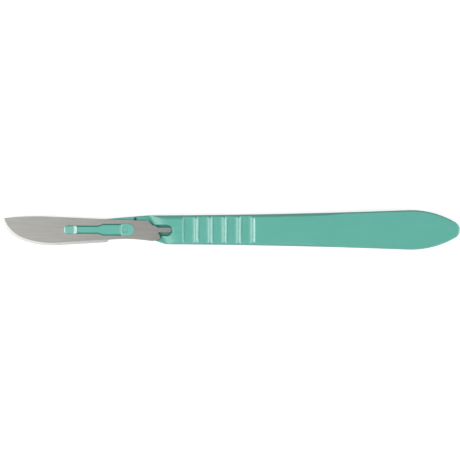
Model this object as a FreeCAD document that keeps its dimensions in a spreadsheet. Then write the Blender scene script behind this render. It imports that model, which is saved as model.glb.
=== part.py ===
import FreeCAD, Part
import math
import os
import re

import Sketcher

# Disposable scalpel: a moulded handle with a steel blade staked to its nose.
# Millimetres. Both pieces are drawn about one datum: the point where the slanted step in front of
# the grip crosses the handle's axis, at half the handle's thickness. The datum is then placed so
# that the origin lies under the middle of the whole scalpel. +X runs from the tip to the tail,
# +Z is the side that carries the blade, and the cutting edge looks towards -Y.

doc = FreeCAD.newDocument("disposable_scalpel")

sizes = {
    # Whole lengths from the step
    "blade_projection": 54.3,    # step to the blade's tip
    "body_length": 105.7,        # step to the end of the tail
    # Handle seen from above
    "front_width": 10.1,         # at the step
    "tail_width": 13.76,         # where the tail starts
    "tail_start": 87.5,          # step to where the tail starts to round
    "side_radius": 2500.0,       # slow curve of each side
    "tail_end_radius": 3.1,
    "step_angle": 32.4,          # slant of the step from square
    # Handle seen from the side, heights from the middle of its thickness
    "ridge_thickness": 5.0,      # over the ridges
    "face_drop": 0.25,           # grip ridge down to the plain face behind it
    "front_face_drop": 0.05,     # grip ridge down to the plain face before it
    "step_height": 1.16,         # top of the step, where its rounded edge ends
    "step_slope": 0.47,          # how far the step leans back below that edge
    "step_rounding": 0.45,
    "ramp_length": 5.4,          # sloped face behind the step
    "ramp_radius": 9.0,          # blend from the slope into the front face
    # Rounded long edges
    "side_rounding": 2.0,
    "tail_rounding": 1.25,
    "rounding_run_start": 57.0,  # the rounding shrinks between these two places
    "rounding_run_end": 66.0,
    # Grip ridges
    "grip_start": 9.2,           # step to the first groove
    "ridge_pitch": 4.96,
    "ridge_count": 5,
    "groove_depth": 0.6,
    "groove_wall_run": 0.1,      # steep wall behind each ridge
    "groove_floor_end": 2.35,    # flat floor ends here
    "ridge_land_start": 4.1,     # narrow land on top of the ridge
    "ridge_land_drop": 0.22,     # the land slopes down to the front by this
    "crest_rounding": 0.22,      # rear edge of each ridge
    # Nose that carries the blade
    "nose_thickness": 1.68,
    "nose_margin": 2.3,          # the nose runs on past the front of the blade's slot
    "nose_tip_upper": 2.45,
    "nose_tip_lower": 1.9,
    "nose_root": 1.2,            # how far the nose runs on inside the grip body
    "nose_lower_bend_place": 2.8,
    "nose_lower_bend_depth": 3.05,
    "nose_tip_rounding": 1.6,
    "nose_bend_rounding": 10.0,
    "nose_edge_rounding": 1.2,
    "ledge_bevel": 0.25,
    "vent_place": 7.5,
    "vent_height": 3.85,
    "vent_diameter": 1.0,
    "vent_depth": 0.8,
    # Pocket behind the blade's heel
    "pocket_end": 5.4,
    "pocket_width": 3.8,
    "pocket_axis": -0.18,
    "pocket_depth": 0.7,         # below the blade's seat
    "pocket_front": 2.2,
    "pocket_rim": 0.22,
    # Boss through the blade's slot
    "slot_gap": 0.4,
    "boss_rise": 0.35,           # above the blade
    "front_head_rise": 0.75,     # above the blade
    "front_head_rounding": 0.35,
    "rear_head_rise": 0.52,      # above the blade
    "rear_head_rounding": 0.13,
    "boss_end_rounding": 0.6,
    "head_corner_rounding": 0.4,
    "front_head_overlap": 0.75,
    "front_head_length": 4.5,
    "front_head_width": 3.0,
    "front_head_tip_width": 2.3,
    "front_head_shoulder": 3.6,  # from its tip to where it is widest
    "front_head_end_width": 2.4,
    "rear_head_overlap": 0.7,
    "rear_head_length": 4.5,
    "rear_head_width": 4.24,
    "gate_mark_diameter": 2.0,
    "gate_mark_depth": 0.12,
    "gate_mark_place": 1.45,     # from the front of the rear head
    # Blade
    "blade_thickness": 0.45,
    "tip_height": 4.05,
    "spine_curve_length": 17.0,  # from the tip; behind it the back of the blade is straight
    "spine_height": 4.66,
    "heel_place": 2.95,
    "heel_height": 3.12,
    "tip_radius": 12.4,
    "belly_radius": 29.4,
    "belly_length": 19.34,       # from the tip; behind it the edge is straight
    "belly_depth": 5.36,
    "shoulder_place": 17.4,
    "shoulder_depth": 4.28,
    "shoulder_run": 0.8,
    "shoulder_step": 0.86,
    "lower_edge_radius": 58.0,
    "heel_lower_place": 1.5,
    "heel_lower_depth": 3.95,
    "tail_bar_width": 1.57,
    "tail_bar_end": 5.2,
    "bar_end_rounding": 0.7,
    "bar_root_place": 0.35,
    "heel_neck_place": -0.75,
    "heel_neck_height": 1.55,
    "heel_cut_place": 1.5,
    "heel_bulge_place": 1.5,
    "heel_bulge_depth": 2.95,
    "heel_rounding": 0.8,
    "heel_top_rounding": 0.3,
    "edge_bevel": 0.92,          # width of the ground bevel
    "edge_land": 0.03,           # what the bevels leave of the thickness
    "bevel_overrun": 3.0,        # how far the grinding cuts reach outside the blade
    # Keyhole slot
    "slot_axis": 0.08,
    "slot_front": 31.6,
    "slot_rear": 8.7,
    "slot_narrow": 2.86,
    "slot_wide": 4.1,
    "slot_flare_start": 20.5,
    "slot_flare_end": 18.8,
    "slot_end_rounding": 0.9,
}

sheet = doc.addObject("Spreadsheet::Sheet", "Sizes")
for row, (alias, value) in enumerate(sizes.items(), start=1):
    sheet.set("A%d" % row, alias)
    sheet.set("B%d" % row, str(value))
    sheet.setAlias("B%d" % row, alias)
doc.recompute()

# Heights and places that the cuts share
HALF = "ridge_thickness/2"
SEAT = "-blade_thickness/2"
BLADE_TOP = "blade_thickness/2"
FRONT_FACE = "(ridge_thickness/2-front_face_drop)"
REAR_FACE = "(ridge_thickness/2-face_drop)"
NOSE_BOTTOM = "-blade_thickness/2-nose_thickness"
SPINE_BREAK = "(blade_projection-spine_curve_length)"
BELLY_END = "(blade_projection-belly_length)"
GRIP_END = "(grip_start+ridge_count*ridge_pitch)"
STEP_TAN = "tan(step_angle)"
STEP_REACH = "front_width/2*tan(step_angle)"
CLEAR = 1.0     # cuts run this far past the surface they open
NEAR = 0.02     # an upright edge this close to a corner stands on it
TOUCH = 1e-3    # points this close to a face lie on it


def formula(text):
    # Named sizes in a formula are looked up in the table of sizes.
    return re.sub(r"[a-z]+(?:_[a-z]+)+", lambda word: "Sizes." + word.group(0), str(text))


def number(text):
    # What a formula comes to now. Drawing starts from these values.
    return float(sheet.evalExpression(formula(text)))


def bind(thing, name, text):
    thing.setExpression(name, formula(text))


def tie(sketch, kind, places, text):
    # One dimension that follows its named sizes.
    index = sketch.addConstraint(Sketcher.Constraint(kind, *places, number(text)))
    bind(sketch, "Constraints[%d]" % index, text)


def origin_part(body, role):
    return next(item for item in body.Origin.OriginFeatures if item.Role == role)


def add_sketch(body, name, lift=None, role="XY_Plane", turn=None):
    sketch = body.newObject("Sketcher::SketchObject", name)
    sketch.AttachmentSupport = [(origin_part(body, role), "")]
    sketch.MapMode = "FlatFace"
    if lift:
        bind(sketch, "AttachmentOffset.Base.z", lift)
    if turn:
        upright = FreeCAD.Rotation(FreeCAD.Vector(0, 1, 0), number(turn))
        sketch.AttachmentOffset = FreeCAD.Placement(FreeCAD.Vector(), upright)
        bind(sketch, "AttachmentOffset.Rotation.Angle", turn)
    return sketch


def corner(x, y, bend=0, radius=None, free="", smooth=False):
    # One corner of an outline and the edge that leaves it: a line, or an arc that bends left (1)
    # or right (-1). A smooth corner has no kink. Free names what that leaves open, x, y or r (the
    # radius): its value is then only a fair first guess.
    return {"x": x, "y": y, "bend": bend, "radius": radius, "free": free, "smooth": smooth}


def arc_between(start, end, radius, bend):
    chord = end - start
    left = FreeCAD.Vector(-chord.y, chord.x, 0).normalize()
    rise = math.sqrt(max(radius ** 2 - chord.Length ** 2 / 4, 0))
    centre = (start + end) * 0.5 + left * rise * bend
    first, last = (start, end) if bend > 0 else (end, start)
    angles = [math.atan2(point.y - centre.y, point.x - centre.x) for point in (first, last)]
    if angles[1] < angles[0]:
        angles[1] += 2 * math.pi
    circle = Part.Circle(centre, FreeCAD.Vector(0, 0, 1), (start - centre).Length)
    return Part.ArcOfCircle(circle, *angles)


def draw_outline(sketch, corners):
    # A closed outline. Each corner that isn't free keeps to its named sizes.
    spots = [FreeCAD.Vector(number(here["x"]), number(here["y"]), 0) for here in corners]
    first_edge = sketch.GeometryCount
    for index, here in enumerate(corners):
        start = spots[index]
        end = spots[(index + 1) % len(corners)]
        if here["bend"]:
            radius = number(here["radius"]) if here["radius"] else (end - start).Length
            edge = arc_between(start, end, radius, here["bend"])
        else:
            edge = Part.LineSegment(start, end)
        sketch.addGeometry(edge, False)
    for index, here in enumerate(corners):
        before = corners[index - 1]
        edge = first_edge + index
        edge_before = first_edge + (index - 1) % len(corners)
        opening = 2 if here["bend"] < 0 else 1
        closing_before = 1 if before["bend"] < 0 else 2
        joint = "Tangent" if here["smooth"] else "Coincident"
        sketch.addConstraint(Sketcher.Constraint(joint, edge_before, closing_before, edge, opening))
        for axis in "xy":
            if axis not in here["free"]:
                tie(sketch, "Distance" + axis.upper(), (-1, 1, edge, opening), here[axis])
        if here["bend"] and "r" not in here["free"]:
            tie(sketch, "Radius", (edge,), here["radius"])
    return first_edge


def draw_circle(sketch, x, y, diameter):
    centre = FreeCAD.Vector(number(x), number(y), 0)
    circle = Part.Circle(centre, FreeCAD.Vector(0, 0, 1), number(diameter) / 2)
    edge = sketch.addGeometry(circle, False)
    tie(sketch, "DistanceX", (-1, 1, edge, 3), x)
    tie(sketch, "DistanceY", (-1, 1, edge, 3), y)
    tie(sketch, "Diameter", (edge,), diameter)


def pad(body, name, sketch, length):
    feature = body.newObject("PartDesign::Pad", name)
    feature.Profile = sketch
    bind(feature, "Length", length)
    return settle(feature)


def settle(feature):
    doc.recompute()
    if feature.Shape.isNull() or not feature.isValid():
        raise RuntimeError("%s has not been made" % feature.Label)
    return feature


def pocket(body, name, sketch, depth=None, both_ways=False):
    # Without a depth the cut runs out through the top, or out through both sides.
    before = body.Shape.Volume
    feature = body.newObject("PartDesign::Pocket", name)
    feature.Profile = sketch
    if depth:
        bind(feature, "Length", depth)
    else:
        feature.Type = "ThroughAll"
        feature.Reversed = not both_ways
        feature.SideType = "Symmetric" if both_ways else "One side"
    settle(feature)
    if feature.Shape.Volume > before - 1e-6:
        raise RuntimeError("%s cuts nothing" % name)
    return feature


def pick_edges(feature, test):
    # Names of the edges whose points all pass the test.
    names = []
    for index, edge in enumerate(feature.Shape.Edges, start=1):
        if all(test(point) for point in edge.discretize(5)):
            names.append("Edge%d" % index)
    if not names:
        raise RuntimeError("no edge of %s passes the test" % feature.Label)
    return names


def fillet(body, name, base, test, radius):
    feature = body.newObject("PartDesign::Fillet", name)
    feature.Base = (base, pick_edges(base, test))
    bind(feature, "Radius", radius)
    return settle(feature)


def chamfer(body, name, base, test, size):
    feature = body.newObject("PartDesign::Chamfer", name)
    feature.Base = (base, pick_edges(base, test))
    bind(feature, "Size", size)
    return settle(feature)


def upright_near(x, y):
    # A test for the upright edge that stands on one corner of an outline.
    place = FreeCAD.Vector(number(x), number(y), 0)
    return lambda point: math.hypot(point.x - place.x, point.y - place.y) < NEAR


def keyhole(inset):
    # The blade's slot, or with an inset the boss that stands in it. Narrow end first.
    narrow = "(slot_narrow/2-%s)" % inset
    wide = "(slot_wide/2-%s)" % inset
    front = "-slot_front+%s" % inset
    rear = "-slot_rear-%s" % inset
    lower = [(front, narrow), ("-slot_flare_start", narrow), ("-slot_flare_end", wide), (rear, wide)]
    places = [(x, "slot_axis-" + half) for x, half in lower]
    places += [(x, "slot_axis+" + half) for x, half in reversed(lower)]
    return [corner(x, y) for x, y in places]


def round_uprights(body, name, base, corners, radius):
    tests = [upright_near(here["x"], here["y"]) for here in corners]
    return fillet(body, name, base, lambda point: any(test(point) for test in tests), radius)


def round_top(body, name, base, height, radius):
    top = number(height)
    return fillet(body, name, base, lambda point: abs(point.z - top) < TOUCH, radius)


# Blanks of the grip body and the nose

def make_grip():
    # The grip body in full thickness, with its long edges rounded.
    outline = doc.addObject("Sketcher::SketchObject", "grip_outline")
    tail_radius = ("((body_length-tail_start)^2+tail_width^2/4-2*(body_length-tail_start)*tail_end_radius)"
                   "/(tail_width-2*tail_end_radius)")
    end_x = "body_length-tail_end_radius*(1-cos(60))"
    end_y = "tail_end_radius*sin(60)"
    half_at_start = "front_width/2+(tail_width-front_width)/2*(rounding_run_start/tail_start)^2"
    half_at_end = "front_width/2+(tail_width-front_width)/2*(rounding_run_end/tail_start)^2"
    side = {"bend": -1, "radius": "side_radius"}
    first = draw_outline(outline, [
        corner(STEP_REACH, "-front_width/2", **side),
        corner("rounding_run_start", "-(%s)" % half_at_start, free="y", smooth=True, **side),
        corner("rounding_run_end", "-(%s)" % half_at_end, free="y", smooth=True, **side),
        corner("tail_start", "-tail_width/2", bend=1, radius=tail_radius, free="r", smooth=True),
        corner(end_x, "-" + end_y, bend=1, radius="tail_end_radius", free="xy", smooth=True),
        corner(end_x, end_y, bend=1, radius=tail_radius, free="xyr", smooth=True),
        corner("tail_start", "tail_width/2", smooth=True, **side),
        corner("rounding_run_end", half_at_end, free="y", smooth=True, **side),
        corner("rounding_run_start", half_at_start, free="y", smooth=True, **side),
        corner("-" + STEP_REACH, "front_width/2"),
    ])
    tail_end = first + 4
    tie(outline, "DistanceX", (-1, 1, tail_end, 3), "body_length-tail_end_radius")
    tie(outline, "DistanceY", (-1, 1, tail_end, 3), "0")

    block = doc.addObject("Part::Extrusion", "grip_block")
    block.Base = outline
    block.DirMode = "Normal"
    block.Solid = True
    block.Symmetric = True
    bind(block, "LengthFwd", "ridge_thickness")
    settle(block)

    rounded = doc.addObject("Part::Fillet", "grip_blank")
    rounded.Base = block
    rounded.Edges = rounding_of(block)
    return settle(rounded)


def rounding_of(block):
    # Every long edge is rounded. The rounding shrinks along the one stretch towards the tail.
    half = number(HALF)
    reach = number(STEP_REACH)
    middle = number("(rounding_run_start+rounding_run_end)/2")
    radii = number("side_rounding"), number("tail_rounding")

    def radius_at(point):
        return radii[0] if point.x < middle else radii[1]

    chosen = []
    for index, edge in enumerate(block.Shape.Edges, start=1):
        ends = [vertex.Point for vertex in edge.Vertexes]
        flat = all(abs(abs(point.z) - half) < TOUCH for point in ends)
        on_step = all(point.x < reach + TOUCH for point in ends)
        if flat and not on_step:
            chosen.append((index, radius_at(edge.valueAt(edge.FirstParameter)),
                           radius_at(edge.valueAt(edge.LastParameter))))
    return chosen


def make_nose():
    # The thin nose ahead of the step. It runs on a little way inside the grip body.
    body = doc.addObject("PartDesign::Body", "nose_blank")
    sketch = add_sketch(body, "nose_outline", lift=NOSE_BOTTOM)
    tip_lower = corner("-slot_front-nose_margin", "-nose_tip_lower")
    tip_upper = corner("-slot_front-nose_margin", "nose_tip_upper")
    bend = corner("-nose_lower_bend_place", "-nose_lower_bend_depth")
    inner = "front_width/2-side_rounding"
    draw_outline(sketch, [
        tip_lower,
        bend,
        corner(STEP_REACH, "-front_width/2"),
        corner("(%s)*tan(step_angle)+nose_root" % inner, "-(%s)" % inner),
        corner("-(%s)*tan(step_angle)+nose_root" % inner, inner),
        corner("-" + STEP_REACH, "front_width/2"),
        tip_upper,
    ])
    nose = pad(body, "nose", sketch, "nose_thickness")
    nose = round_uprights(body, "nose_tip", nose, [tip_lower, tip_upper], "nose_tip_rounding")
    nose = round_uprights(body, "nose_bend", nose, [bend], "nose_bend_rounding")
    bottom = number(NOSE_BOTTOM)
    slant = number(STEP_TAN)
    fillet(body, "nose_keel", nose, lambda point: abs(point.z - bottom) < TOUCH
           and point.x + point.y * slant < TOUCH, "nose_edge_rounding")
    return body


def make_blank():
    # Grip body and nose as one lump, before the cuts.
    blank = doc.addObject("Part::Fuse", "handle_blank")
    blank.Base = make_grip()
    blank.Tool = make_nose()
    return settle(blank)


# Handle

def cut_step(body):
    # The slanted step, the sloped face behind it and the lighter slope on the underside.
    sketch = add_sketch(body, "step_profile", role="XZ_Plane", turn="step_angle")
    top = "ridge_thickness/2+%s" % CLEAR
    draw_outline(sketch, [
        corner(-CLEAR, SEAT),
        corner("0", SEAT),
        corner("step_slope", "3/4*step_height", bend=-1, radius="step_rounding", free="y", smooth=True),
        corner("step_slope+step_rounding/2", "step_height", free="x", smooth=True),
        corner("ramp_length/2", "(step_height+%s)/2" % FRONT_FACE, bend=-1, radius="ramp_radius",
               free="xy", smooth=True),
        corner("ramp_length", FRONT_FACE, smooth=True),
        corner("ramp_length+%s" % CLEAR, FRONT_FACE),
        corner("ramp_length+%s" % CLEAR, top),
        corner(-CLEAR, top),
    ])
    draw_outline(sketch, [
        corner(-CLEAR, NOSE_BOTTOM),
        corner(-CLEAR, "-(%s)" % top),
        corner("ramp_length", "-(%s)" % top),
        corner("ramp_length", "-ridge_thickness/2"),
        corner("0", NOSE_BOTTOM),
    ])
    return pocket(body, "step_cut", sketch, both_ways=True)


def draw_ridge_end(sketch, end, crest, bend, others):
    # An outline that opens with the rounded rear edge of a ridge, then the steep wall under it.
    first = draw_outline(sketch, [
        corner(end + "-crest_rounding", crest, bend=bend, radius="crest_rounding"),
        corner(end, crest + "%+d*crest_rounding" % bend, free="xy", smooth=True),
    ] + others)
    opening = 2 if bend < 0 else 1
    sketch.addConstraint(Sketcher.Constraint("Vertical", first, opening, first, 3))


def cut_faces(body):
    # On the blade's side the plain faces before and behind the ridges lie lower than the crests.
    # The underside stays flush, so that the scalpel lies flat.
    sketch = add_sketch(body, "face_profile", role="XZ_Plane")
    top = "ridge_thickness/2+%s" % CLEAR
    draw_outline(sketch, [
        corner("-" + STEP_REACH + "-%s" % CLEAR, FRONT_FACE),
        corner("grip_start", FRONT_FACE),
        corner("grip_start", top),
        corner("-" + STEP_REACH + "-%s" % CLEAR, top),
    ])
    draw_ridge_end(sketch, GRIP_END, HALF, -1, [
        corner(GRIP_END + "+groove_wall_run", REAR_FACE),
        corner("body_length+%s" % CLEAR, REAR_FACE),
        corner("body_length+%s" % CLEAR, top),
        corner(GRIP_END + "-crest_rounding", top),
    ])
    return pocket(body, "face_cut", sketch, both_ways=True)


def cut_grooves(body):
    # Ratchet-shaped grooves: rounded edge, steep wall, flat floor, hollow rise, sloping land.
    sketch = add_sketch(body, "groove_profile", role="XZ_Plane")
    for side, bend in (("", 1), ("-", -1)):
        floor = side + "(ridge_thickness/2-groove_depth)"
        crest = side + "(ridge_thickness/2)"
        top = side + "(ridge_thickness/2+%s)" % CLEAR
        land = side + "(ridge_thickness/2-ridge_land_drop)"
        draw_ridge_end(sketch, "grip_start", crest, -bend, [
            corner("grip_start+groove_wall_run", floor),
            corner("grip_start+groove_floor_end", floor, bend=bend, free="r", smooth=True),
            corner("grip_start+ridge_land_start", land),
            corner("grip_start+ridge_pitch", crest),
            corner("grip_start+ridge_pitch", top),
            corner("grip_start-crest_rounding", top),
        ])
    groove = pocket(body, "groove", sketch, both_ways=True)
    row = body.newObject("PartDesign::LinearPattern", "grooves")
    row.Originals = [groove]
    row.Direction = (origin_part(body, "X_Axis"), [""])
    row.Mode = "Spacing"
    bind(row, "Offset", "ridge_pitch")
    bind(row, "Occurrences", "ridge_count")
    body.Tip = row
    return settle(row)


def cut_pocket(body):
    sketch = add_sketch(body, "pocket_outline", lift=SEAT + "-pocket_depth")
    low = "pocket_axis-pocket_width/2"
    high = "pocket_axis+pocket_width/2"
    draw_outline(sketch, [
        corner("-pocket_front", low),
        corner("pocket_end-pocket_width/2", low, bend=1, radius="pocket_width/2", free="r", smooth=True),
        corner("pocket_end-pocket_width/2", high),
        corner("-pocket_front", high),
    ])
    cut = pocket(body, "heel_pocket", sketch)
    height = number("step_height")
    half = number("pocket_width/2")
    centre_x = number("pocket_end-pocket_width/2")
    centre_y = number("pocket_axis")

    def on_rim(point):
        if point.x < centre_x:
            distance = abs(point.y - centre_y)
        else:
            distance = math.hypot(point.x - centre_x, point.y - centre_y)
        return point.z > height - TOUCH and abs(distance - half) < TOUCH
    return chamfer(body, "pocket_rim", cut, on_rim, "pocket_rim")


def add_boss(body):
    sketch = add_sketch(body, "boss_outline", lift=SEAT)
    outline = keyhole("slot_gap")
    draw_outline(sketch, outline)
    boss = pad(body, "boss", sketch, "blade_thickness+boss_rise")
    ends = [outline[index] for index in (0, 3, 4, 7)]
    return round_uprights(body, "boss_ends", boss, ends, "boss_end_rounding")


def add_heads(body):
    # The two staked heads lie on the blade over the ends of its slot.
    front = "-slot_front-front_head_overlap"
    rear = "-slot_rear+rear_head_overlap"
    sketch = add_sketch(body, "front_head_outline", lift=BLADE_TOP)
    outline = [(front, "front_head_tip_width/2"), (front + "+front_head_shoulder", "front_head_width/2"),
               (front + "+front_head_length", "front_head_end_width/2")]
    front_corners = [corner(x, "slot_axis-" + half) for x, half in outline]
    front_corners += [corner(x, "slot_axis+" + half) for x, half in reversed(outline)]
    draw_outline(sketch, front_corners)
    head = pad(body, "front_head", sketch, "front_head_rise")
    head = round_uprights(body, "front_head_corners", head, front_corners, "head_corner_rounding")
    head = round_top(body, "front_head_top", head, BLADE_TOP + "+front_head_rise", "front_head_rounding")

    sketch = add_sketch(body, "rear_head_outline", lift=BLADE_TOP)
    lower = "slot_axis-rear_head_width/2"
    upper = "slot_axis+rear_head_width/2"
    rear_corners = [corner(rear + "-rear_head_length", lower), corner(rear + "-rear_head_length", upper)]
    draw_outline(sketch, [
        rear_corners[0],
        corner(rear + "-rear_head_width/2", lower, bend=1, radius="rear_head_width/2", free="r", smooth=True),
        corner(rear + "-rear_head_width/2", upper),
        rear_corners[1],
    ])
    head = pad(body, "rear_head", sketch, "rear_head_rise")
    head = round_uprights(body, "rear_head_corners", head, rear_corners, "head_corner_rounding")
    head = round_top(body, "rear_head_top", head, BLADE_TOP + "+rear_head_rise", "rear_head_rounding")

    sketch = add_sketch(body, "gate_mark_outline", lift=BLADE_TOP + "+rear_head_rise")
    draw_circle(sketch, rear + "-rear_head_length+gate_mark_place", "slot_axis", "gate_mark_diameter")
    return pocket(body, "gate_mark", sketch, "gate_mark_depth")


def finish_ledge(body):
    # The ledge beside the back of the blade: a vent hole and a light bevel on its outer edge.
    sketch = add_sketch(body, "vent_outline", lift=SEAT)
    draw_circle(sketch, "-vent_place", "vent_height", "vent_diameter")
    vent = pocket(body, "vent", sketch, "vent_depth")
    seat = number(SEAT)
    slant = number(STEP_TAN)
    lowest = number("nose_tip_upper")
    vent_x = number("-vent_place")
    vent_y = number("vent_height")
    vent_reach = number("vent_diameter/2") + TOUCH

    def on_ledge(point):
        outside_vent = math.hypot(point.x - vent_x, point.y - vent_y) > vent_reach
        ahead_of_step = point.x + point.y * slant < TOUCH
        return abs(point.z - seat) < TOUCH and point.y > lowest and ahead_of_step and outside_vent
    return chamfer(body, "ledge_edge", vent, on_ledge, "ledge_bevel")


def make_handle(blank):
    body = doc.addObject("PartDesign::Body", "handle")
    body.Label = "handle"
    body.BaseFeature = blank
    doc.recompute()
    cut_step(body)
    cut_faces(body)
    cut_grooves(body)
    cut_pocket(body)
    add_boss(body)
    add_heads(body)
    finish_ledge(body)
    return body


# Blade

def make_blade():
    body = doc.addObject("PartDesign::Body", "blade")
    body.Label = "blade"
    blank_sketch = add_sketch(body, "blade_outline", lift=SEAT)
    bar = "tail_bar_width/2"
    tip = corner("-blade_projection", "tip_height", bend=1, radius="tip_radius")
    joint = corner("-blade_projection+2/5*belly_length", "-2/3*belly_depth", bend=1,
                   radius="belly_radius", free="xy", smooth=True)
    belly = corner("-" + BELLY_END, "-belly_depth", smooth=True)
    shoulder = corner("-shoulder_place", "-shoulder_depth")
    heel_lower = corner("heel_bulge_place", "-heel_bulge_depth")
    heel_top = corner("-heel_place", "heel_height")
    bar_root_lower = corner("bar_root_place", "-" + bar)
    bar_root_upper = corner("bar_root_place", bar)
    bar_end_lower = corner("tail_bar_end", "-" + bar)
    bar_end_upper = corner("tail_bar_end", bar)
    draw_outline(blank_sketch, [
        tip,
        joint,
        belly,
        shoulder,
        corner("-shoulder_place+shoulder_run", "-shoulder_depth+shoulder_step", bend=-1,
               radius="lower_edge_radius"),
        corner("-heel_lower_place", "-heel_lower_depth"),
        heel_lower,
        bar_root_lower,
        bar_end_lower,
        bar_end_upper,
        bar_root_upper,
        corner("heel_neck_place", "heel_neck_height"),
        corner("-heel_cut_place", "heel_neck_height"),
        heel_top,
        corner("-" + SPINE_BREAK, "spine_height", bend=1, radius="2*blade_projection", free="r", smooth=True),
    ])
    plate = pad(body, "plate", blank_sketch, "blade_thickness")
    plate = round_uprights(body, "bar_end", plate, [bar_end_lower, bar_end_upper], "bar_end_rounding")
    plate = round_uprights(body, "heel_corner", plate, [heel_lower], "heel_rounding")
    plate = round_uprights(body, "heel_tip", plate, [heel_top], "heel_top_rounding")

    sketch = add_sketch(body, "slot_outline", lift=SEAT)
    outline = keyhole("0")
    draw_outline(sketch, outline)
    slot = pocket(body, "slot", sketch)
    ends = [outline[index] for index in (0, 3, 4, 7)]
    slot = round_uprights(body, "slot_ends", slot, ends, "slot_end_rounding")
    grind_edge(body, blank_sketch)
    return body


def grind_edge(body, outline):
    # The ground bevel on both faces, from the tip round the belly to the shoulder. Its inner border
    # is the cutting edge moved inwards, and the cut slopes out until only the land is left.
    depth = "((blade_thickness-edge_land)/2)"
    end_x = "-shoulder_place+shoulder_run"
    out_x = "-blade_projection-bevel_overrun"
    out_y = "-belly_depth-bevel_overrun"
    top_y = "tip_height+bevel_overrun/2"
    sketch = add_sketch(body, "bevel_outline", lift=BLADE_TOP)
    for edge in ("Edge1", "Edge2", "Edge3"):
        sketch.addExternal(outline.Name, edge)
    tip_arc, belly_arc, straight = -3, -4, -5
    first = draw_outline(sketch, [
        corner("-blade_projection+edge_bevel", top_y, bend=1, radius="tip_radius-edge_bevel", free="x"),
        corner("-blade_projection+2/5*belly_length", "-2/3*belly_depth+edge_bevel", bend=1,
               radius="belly_radius-edge_bevel", free="xy", smooth=True),
        corner("-" + BELLY_END, "-belly_depth+edge_bevel", free="xy", smooth=True),
        corner(end_x, "-shoulder_depth+edge_bevel", free="y"),
        corner(end_x, out_y),
        corner(out_x, out_y),
        corner(out_x, top_y),
    ])
    sketch.addConstraint(Sketcher.Constraint("Vertical", first, 3, tip_arc, 3))
    sketch.addConstraint(Sketcher.Constraint("Coincident", first + 1, 3, belly_arc, 3))
    sketch.addConstraint(Sketcher.Constraint("Parallel", first + 2, straight))

    upper = body.newObject("PartDesign::Pocket", "bevel")
    upper.Profile = sketch
    bind(upper, "Length", depth)
    bind(upper, "TaperAngle", "-atan(edge_bevel/%s)" % depth)
    settle(upper)
    lower = body.newObject("PartDesign::Mirrored", "bevels")
    lower.Originals = [upper]
    lower.MirrorPlane = (origin_part(body, "XY_Plane"), [""])
    body.Tip = lower
    return settle(lower)


# Pieces, checked and written

def place(body):
    bind(body, "Placement.Base.x", "(blade_projection-body_length)/2")
    bind(body, "Placement.Base.z", HALF)


pieces = [make_handle(make_blank()), make_blade()]
for piece in pieces:
    place(piece)
doc.recompute()

for item in doc.Objects:
    if "Invalid" in item.State or "Error" in item.State:
        raise RuntimeError("%s has failed" % item.Label)
os.makedirs("parts", exist_ok=True)
for piece in pieces:
    if piece.Shape.isNull() or not piece.Shape.isValid():
        raise RuntimeError("%s is not a valid solid" % piece.Label)
    piece.Shape.exportStep("parts/%s.step" % piece.Label)
    box = piece.Shape.optimalBoundingBox(True, False)
    print(piece.Label, len(piece.Shape.Solids), round(piece.Shape.Volume, 1),
          [round(value, 2) for value in (box.XMin, box.XMax, box.YMin, box.YMax, box.ZMin, box.ZMax)])
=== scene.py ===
import bpy
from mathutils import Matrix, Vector

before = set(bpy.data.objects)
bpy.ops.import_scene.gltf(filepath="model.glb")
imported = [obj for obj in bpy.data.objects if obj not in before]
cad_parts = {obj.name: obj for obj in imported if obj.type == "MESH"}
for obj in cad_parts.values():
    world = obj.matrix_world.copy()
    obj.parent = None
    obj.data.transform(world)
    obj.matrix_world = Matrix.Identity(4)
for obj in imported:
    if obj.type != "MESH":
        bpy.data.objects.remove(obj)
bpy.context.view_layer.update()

# Disposable scalpel: the moulded handle and the steel blade come from model.glb, at their real size.
# This script gives them their finishes and sets up the floor, the lamps and the camera.

mm = 0.001


def hexToLinear(code):
    # sRGB hex, such as "6bb8ab", to a linear colour with alpha
    channels = [int(code[i:i + 2], 16) / 255 for i in (0, 2, 4)]
    return tuple(c / 12.92 if c <= 0.04045 else ((c + 0.055) / 1.055) ** 2.4 for c in channels) + (1.0,)


def addNode(tree, kind, settings=None, inputs=None):
    # settings are the node's own properties. An input is another node's output or a plain value.
    node = tree.nodes.new(kind)
    for name, value in (settings or {}).items():
        setattr(node, name, value)
    for name, value in (inputs or {}).items():
        if isinstance(value, bpy.types.NodeSocket):
            tree.links.new(value, node.inputs[name])
        else:
            node.inputs[name].default_value = value
    return node


def startMaterial(name):
    material = bpy.data.materials.new(name)
    material.use_nodes = True
    material.node_tree.nodes.clear()
    return material, material.node_tree


# Handle: polystyrene, injection moulded in one piece with its boss and staked heads. The polished
# tool leaves a smooth satin skin, with faint flow marks drawn out along the handle.

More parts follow.
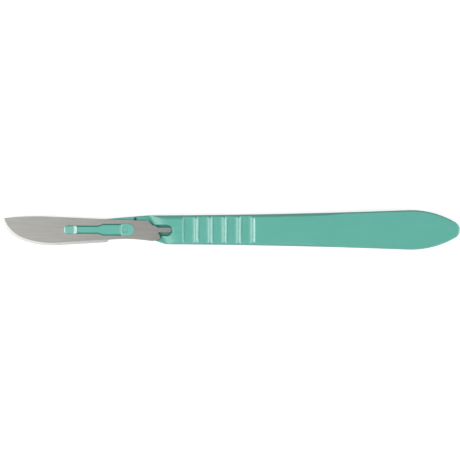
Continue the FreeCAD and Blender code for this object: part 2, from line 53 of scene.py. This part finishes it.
handleFinish = {
    "green": "62b4a5",
    "paleGreen": "66b7a8",
    "flowLength": 14 * mm,      # faint flow marks, long in the direction of filling
    "flowWidth": 2.5 * mm,
    "flowRange": (0.3, 0.7),
    "flowDetail": 3.0,
    "roughness": (0.29, 0.34),
    "sparkGrain": 0.35 * mm,    # the tool's fine texture, drawn coarser than its real 0.05 mm
    "sparkDepth": 0.004 * mm,
    "ior": 1.59,
    "scatter": 0.35,            # light wanders inside, so thin ridges and edges glow
    "scatterDepth": 0.6 * mm,
    "scatterTint": (0.55, 1.0, 0.9),
    "edgeRadius": 0.25 * mm,    # no moulded edge is quite sharp, so each one catches the light
    "edgeSamples": 6,
    "ridgeHighlightGreen": "c8f8ee",     # painted highlight: pale green on the ridges' cross edges
    "ridgeWidth": 0.75 * mm,
    "ridgeTurn": (0.08, 0.34),
    "gripStart": (-18 * mm, -14 * mm),      # the painted highlight begins over the first groove
    "gripEnd": 12 * mm,
    "paintedShadeGreen": "2c7f72",      # painted shade: darker green where little light reaches, in the gap round the boss and the pocket's corners
    "gapWidth": 1.2 * mm,
    "gapOpen": (0.25, 0.95),
    "gapSamples": 8,
    "headEndColour": "c6e6dd",          # paler at both ends of each head, where it stands above the blade
    "headEndHeight": 2.85 * mm,   # just above the blade's upper face
    "heads": [
        {"middle": -56.2 * mm, "plain": 1.35 * mm, "pale": 1.75 * mm, "reach": 2.6 * mm,
         "share": (0.12, 1.0)},
        {"middle": -35.4 * mm, "plain": 2.4 * mm, "pale": 2.9 * mm, "reach": 3.3 * mm,
         "share": (0.10, 0.30)},
    ],
}


def paleHeadEnds(tree, parts, look):
    # pale where the heads stand above the blade, most at their two ends
    shares = []
    for head in look["heads"]:
        offset = addNode(tree, "ShaderNodeMath", {"operation": "SUBTRACT"},
                         {0: parts["X"], 1: head["middle"]}).outputs["Value"]
        away = addNode(tree, "ShaderNodeMath", {"operation": "ABSOLUTE"}, {0: offset}).outputs["Value"]
        ends = addNode(tree, "ShaderNodeMapRange", None,
                       {"Value": away, "From Min": head["plain"], "From Max": head["pale"],
                        "To Min": head["share"][0], "To Max": head["share"][1]}).outputs["Result"]
        near = addNode(tree, "ShaderNodeMath", {"operation": "LESS_THAN"},
                       {0: away, 1: head["reach"]}).outputs["Value"]
        shares.append(addNode(tree, "ShaderNodeMath", {"operation": "MULTIPLY"},
                              {0: ends, 1: near}).outputs["Value"])
    both = addNode(tree, "ShaderNodeMath", {"operation": "MAXIMUM"},
                   {0: shares[0], 1: shares[1]}).outputs["Value"]
    high = addNode(tree, "ShaderNodeMath", {"operation": "GREATER_THAN"},
                   {0: parts["Z"], 1: look["headEndHeight"]}).outputs["Value"]
    return addNode(tree, "ShaderNodeMath", {"operation": "MULTIPLY"}, {0: both, 1: high}).outputs["Value"]


def paintedRidgeHighlight(tree, parts, look):
    # painted highlight: pale on the ridges' cross edges, where the rounded normal leans along the handle and
    # the flat one doesn't
    rounded = addNode(tree, "ShaderNodeBevel", {"samples": look["edgeSamples"]},
                      {"Radius": look["ridgeWidth"]})
    flat = addNode(tree, "ShaderNodeNewGeometry")
    roundedLean = addNode(tree, "ShaderNodeSeparateXYZ", None, {"Vector": rounded.outputs["Normal"]})
    flatLean = addNode(tree, "ShaderNodeSeparateXYZ", None, {"Vector": flat.outputs["True Normal"]})
    change = addNode(tree, "ShaderNodeMath", {"operation": "SUBTRACT"},
                     {0: roundedLean.outputs["X"], 1: flatLean.outputs["X"]}).outputs["Value"]
    turn = addNode(tree, "ShaderNodeMath", {"operation": "ABSOLUTE"}, {0: change}).outputs["Value"]
    glow = addNode(tree, "ShaderNodeMapRange", None,
                   {"Value": turn, "From Min": look["ridgeTurn"][0],
                    "From Max": look["ridgeTurn"][1]}).outputs["Result"]
    afterStart = addNode(tree, "ShaderNodeMapRange", None,
                         {"Value": parts["X"], "From Min": look["gripStart"][0],
                          "From Max": look["gripStart"][1]}).outputs["Result"]
    beforeEnd = addNode(tree, "ShaderNodeMath", {"operation": "LESS_THAN"},
                        {0: parts["X"], 1: look["gripEnd"]}).outputs["Value"]
    onGrip = addNode(tree, "ShaderNodeMath", {"operation": "MULTIPLY"},
                     {0: afterStart, 1: beforeEnd}).outputs["Value"]
    return addNode(tree, "ShaderNodeMath", {"operation": "MULTIPLY"}, {0: glow, 1: onGrip}).outputs["Value"]


def mouldedPolystyrene():
    material, tree = startMaterial("moulded_polystyrene_green")
    look = handleFinish
    place = addNode(tree, "ShaderNodeTexCoord").outputs["Object"]
    parts = addNode(tree, "ShaderNodeSeparateXYZ", None, {"Vector": place}).outputs

    stretched = addNode(tree, "ShaderNodeMapping", None,
                        {"Vector": place,
                         "Scale": (1 / look["flowLength"], 1 / look["flowWidth"], 1 / look["flowWidth"])})
    flow = addNode(tree, "ShaderNodeTexNoise", None,
                   {"Vector": stretched.outputs["Vector"], "Scale": 1.0,
                    "Detail": look["flowDetail"]}).outputs["Fac"]
    colour = addNode(tree, "ShaderNodeValToRGB", None, {"Fac": flow})
    for stop, position, code in zip(colour.color_ramp.elements, look["flowRange"],
                                    (look["green"], look["paleGreen"])):
        stop.position = position
        stop.color = hexToLinear(code)

    # A colour Mix takes its colours at 6 and 7 and gives one at 2
    staked = addNode(tree, "ShaderNodeMix", {"data_type": "RGBA"},
                     {0: paleHeadEnds(tree, parts, look), 6: colour.outputs["Color"],
                      7: hexToLinear(look["headEndColour"])})
    # painted shade: ambient occlusion darkens the colour in crevices, the gap round the boss and the pocket's
    # corners
    gap = addNode(tree, "ShaderNodeAmbientOcclusion", {"samples": look["gapSamples"]},
                  {"Distance": look["gapWidth"]})
    openness = addNode(tree, "ShaderNodeMapRange", None,
                       {"Value": gap.outputs["AO"], "From Min": look["gapOpen"][0],
                        "From Max": look["gapOpen"][1]})
    shaded = addNode(tree, "ShaderNodeMix", {"data_type": "RGBA"},
                     {0: openness.outputs["Result"], 6: hexToLinear(look["paintedShadeGreen"]),
                      7: staked.outputs[2]})
    # painted highlight: pale green mixed onto the ridges' cross edges
    glowing = addNode(tree, "ShaderNodeMix", {"data_type": "RGBA"},
                      {0: paintedRidgeHighlight(tree, parts, look), 6: shaded.outputs[2],
                       7: hexToLinear(look["ridgeHighlightGreen"])})

    rough = addNode(tree, "ShaderNodeMapRange", None,
                    {"Value": flow, "To Min": look["roughness"][0], "To Max": look["roughness"][1]})
    grain = addNode(tree, "ShaderNodeTexNoise", None, {"Vector": place, "Scale": 1 / look["sparkGrain"]})
    softened = addNode(tree, "ShaderNodeBevel", {"samples": look["edgeSamples"]},
                       {"Radius": look["edgeRadius"]})
    bump = addNode(tree, "ShaderNodeBump", None,
                   {"Height": grain.outputs["Fac"], "Normal": softened.outputs["Normal"],
                    "Distance": look["sparkDepth"]})
    shader = addNode(tree, "ShaderNodeBsdfPrincipled", None,
                     {"Base Color": glowing.outputs[2], "Roughness": rough.outputs["Result"],
                      "Normal": bump.outputs["Normal"], "IOR": look["ior"],
                      "Subsurface Weight": look["scatter"], "Subsurface Scale": look["scatterDepth"],
                      "Subsurface Radius": look["scatterTint"]})
    addNode(tree, "ShaderNodeOutputMaterial", None, {"Surface": shader.outputs["BSDF"]})
    return material


# Blade: hardened stainless strip. Its faces keep the fine lengthwise lines of rolling and
# polishing, and the bevel is wet-ground and finer; its paler steel colour is partly a painted reflection.

bladeFinish = {
    "steel": "b5b4af",
    "paleSteel": "c1c0bb",
    # the bevel's paler steel: its finer grind, and partly a painted reflection
    "groundSteelAndSheen": "d7d7d5",
    "rollLength": 9 * mm,
    "rollWidth": 0.35 * mm,         # drawn coarser than the real lines of about 0.05 mm
    "rollRange": (0.35, 0.65),
    "rollDetail": 4.0,
    "rollFineness": 0.6,
    "roughness": (0.28, 0.36),
    "groundRoughness": 0.22,
    "lineDepth": 0.003 * mm,
    "bevelSlope": (0.955, 0.995),   # how upright the bevel's normal is
}


def groundBevel(tree, look):
    # 1 on the bevel, which is the only slightly tilted face of the blade
    flat = addNode(tree, "ShaderNodeNewGeometry").outputs["True Normal"]
    lean = addNode(tree, "ShaderNodeSeparateXYZ", None, {"Vector": flat}).outputs["Z"]
    upright = addNode(tree, "ShaderNodeMath", {"operation": "ABSOLUTE"}, {0: lean}).outputs["Value"]
    above = addNode(tree, "ShaderNodeMath", {"operation": "GREATER_THAN"},
                    {0: upright, 1: look["bevelSlope"][0]}).outputs["Value"]
    below = addNode(tree, "ShaderNodeMath", {"operation": "LESS_THAN"},
                    {0: upright, 1: look["bevelSlope"][1]}).outputs["Value"]
    return addNode(tree, "ShaderNodeMath", {"operation": "MULTIPLY"}, {0: above, 1: below}).outputs["Value"]


def rolledSteel():
    material, tree = startMaterial("rolled_stainless_steel")
    look = bladeFinish
    place = addNode(tree, "ShaderNodeTexCoord").outputs["Object"]
    ground = groundBevel(tree, look)
    stretched = addNode(tree, "ShaderNodeMapping", None,
                        {"Vector": place,
                         "Scale": (1 / look["rollLength"], 1 / look["rollWidth"], 1 / look["rollWidth"])})
    lines = addNode(tree, "ShaderNodeTexNoise", None,
                    {"Vector": stretched.outputs["Vector"], "Scale": 1.0,
                     "Detail": look["rollDetail"], "Roughness": look["rollFineness"]}).outputs["Fac"]
    streaks = addNode(tree, "ShaderNodeValToRGB", None, {"Fac": lines})
    for stop, position, code in zip(streaks.color_ramp.elements, look["rollRange"],
                                    (look["steel"], look["paleSteel"])):
        stop.position = position
        stop.color = hexToLinear(code)
    # paler steel on the bevel, partly a painted reflection
    colour = addNode(tree, "ShaderNodeMix", {"data_type": "RGBA"},
                     {0: ground, 6: streaks.outputs["Color"], 7: hexToLinear(look["groundSteelAndSheen"])})

    rolled = addNode(tree, "ShaderNodeMapRange", None,
                     {"Value": lines, "To Min": look["roughness"][0], "To Max": look["roughness"][1]})
    # A number Mix takes its numbers at 2 and 3 and gives one at 0
    rough = addNode(tree, "ShaderNodeMix", {"data_type": "FLOAT"},
                    {0: ground, 2: rolled.outputs["Result"], 3: look["groundRoughness"]})
    bump = addNode(tree, "ShaderNodeBump", None, {"Height": lines, "Distance": look["lineDepth"]})
    shader = addNode(tree, "ShaderNodeBsdfPrincipled", None,
                     {"Base Color": colour.outputs[2], "Roughness": rough.outputs[0],
                      "Normal": bump.outputs["Normal"], "Metallic": 1.0})
    addNode(tree, "ShaderNodeOutputMaterial", None, {"Surface": shader.outputs["BSDF"]})
    return material


def dress(node, material):
    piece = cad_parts[node]
    piece.data.materials.clear()
    piece.data.materials.append(material)


dress("handle", mouldedPolystyrene())
dress("blade", rolledSteel())
print("finishes on", len(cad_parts), "pieces")


# Floor and room: a plain pale sheet in a white room that lights the object only a little. What is
# seen of them is lifted to white, less in reflections, and the sheet still takes the object's shadow.

floorLook = {
    "size": 6.0,
    "pale": "acacac",
    "lift": 0.75,
}

roomLook = {
    "white": "ffffff",
    "light": 0.10,
    "reflected": 0.30,
}


def seenShare(tree):
    # 1 where the camera or a clear piece shows the surroundings, less where a surface reflects them
    ray = addNode(tree, "ShaderNodeLightPath").outputs
    reflected = addNode(tree, "ShaderNodeMath", {"operation": "MULTIPLY"},
                        {0: ray["Is Glossy Ray"], 1: roomLook["reflected"]}).outputs["Value"]
    direct = addNode(tree, "ShaderNodeMath", {"operation": "MAXIMUM"},
                     {0: ray["Is Camera Ray"], 1: ray["Is Transmission Ray"]}).outputs["Value"]
    return addNode(tree, "ShaderNodeMath", {"operation": "MAXIMUM"},
                   {0: reflected, 1: direct}).outputs["Value"]


def whiteFloor():
    bpy.ops.mesh.primitive_plane_add(size=floorLook["size"])
    floor = bpy.context.object
    floor.name = "floor"
    material, tree = startMaterial("white_sheet")
    paint = addNode(tree, "ShaderNodeBsdfDiffuse", None, {"Color": hexToLinear(floorLook["pale"])})
    lift = addNode(tree, "ShaderNodeMath", {"operation": "MULTIPLY"},
                   {0: seenShare(tree), 1: floorLook["lift"]})
    glow = addNode(tree, "ShaderNodeEmission", None, {"Strength": lift.outputs["Value"]})
    both = addNode(tree, "ShaderNodeAddShader", None, {0: paint.outputs["BSDF"], 1: glow.outputs["Emission"]})
    addNode(tree, "ShaderNodeOutputMaterial", None, {"Surface": both.outputs["Shader"]})
    floor.data.materials.append(material)


def whiteRoom():
    world = bpy.data.worlds.new("room")
    world.use_nodes = True
    tree = world.node_tree
    tree.nodes.clear()
    strength = addNode(tree, "ShaderNodeMath", {"operation": "MAXIMUM"},
                       {0: seenShare(tree), 1: roomLook["light"]})
    walls = addNode(tree, "ShaderNodeBackground", None,
                    {"Color": hexToLinear(roomLook["white"]), "Strength": strength.outputs["Value"]})
    addNode(tree, "ShaderNodeOutputWorld", None, {"Surface": walls.outputs["Background"]})
    bpy.context.scene.world = world


whiteFloor()
whiteRoom()


# Lamps: soft boxes beyond both ends of the scalpel, as its bright ramp, ridges and ground edge say,
# a weak one over the blade, and little light from the sides

lamps = {
    "tipSide": {"place": (-0.62, -0.09, 0.50), "size": (0.40, 0.40), "watts": 4.8},
    "bladeTop": {"place": (-0.15, -0.04, 0.25), "size": (0.22, 0.30), "watts": 0.13,
                 "aim": (-0.15, -0.04, 0.0)},
    "edgeHigh": {"place": (-0.20, -0.42, 0.85), "size": (0.50, 0.24), "watts": 0.13},
    "edgeLow": {"place": (-0.15, -0.80, 0.32), "size": (0.70, 0.30), "watts": 0.5},
    "tailLow": {"place": (0.90, -0.10, 0.25), "size": (0.30, 0.30), "watts": 6.5},
    "tailWide": {"place": (0.60, -0.10, 0.75), "size": (0.45, 0.45), "watts": 2.2},
}


def addSoftBox(name, look):
    light = bpy.data.lights.new(name, "AREA")
    light.shape = "RECTANGLE"
    light.size, light.size_y = look["size"]
    light.energy = look["watts"]
    lamp = bpy.data.objects.new(name, light)
    lamp.location = look["place"]
    direction = Vector(look.get("aim", (0, 0, 0))) - Vector(look["place"])
    lamp.rotation_euler = direction.to_track_quat("-Z", "Y").to_euler()
    bpy.context.scene.collection.objects.link(lamp)


for lampName, lampLook in lamps.items():
    addSoftBox(lampName, lampLook)
print("floor, room and", len(lamps), "lamps")


# Camera: straight down, without perspective, framed as the picture is

pictureFrame = {
    "pixels": 460,
    "mmPerPixel": 0.3488,
    "centre": (-0.19 * mm, -0.03 * mm),
    "height": 0.2,
}

cameraData = bpy.data.cameras.new("camera")
cameraData.type = "ORTHO"
cameraData.ortho_scale = pictureFrame["pixels"] * pictureFrame["mmPerPixel"] * mm
camera = bpy.data.objects.new("camera", cameraData)
camera.location = (*pictureFrame["centre"], pictureFrame["height"])
bpy.context.scene.collection.objects.link(camera)
bpy.context.scene.camera = camera
bpy.context.scene.view_settings.view_transform = "Standard"
print("camera ready")
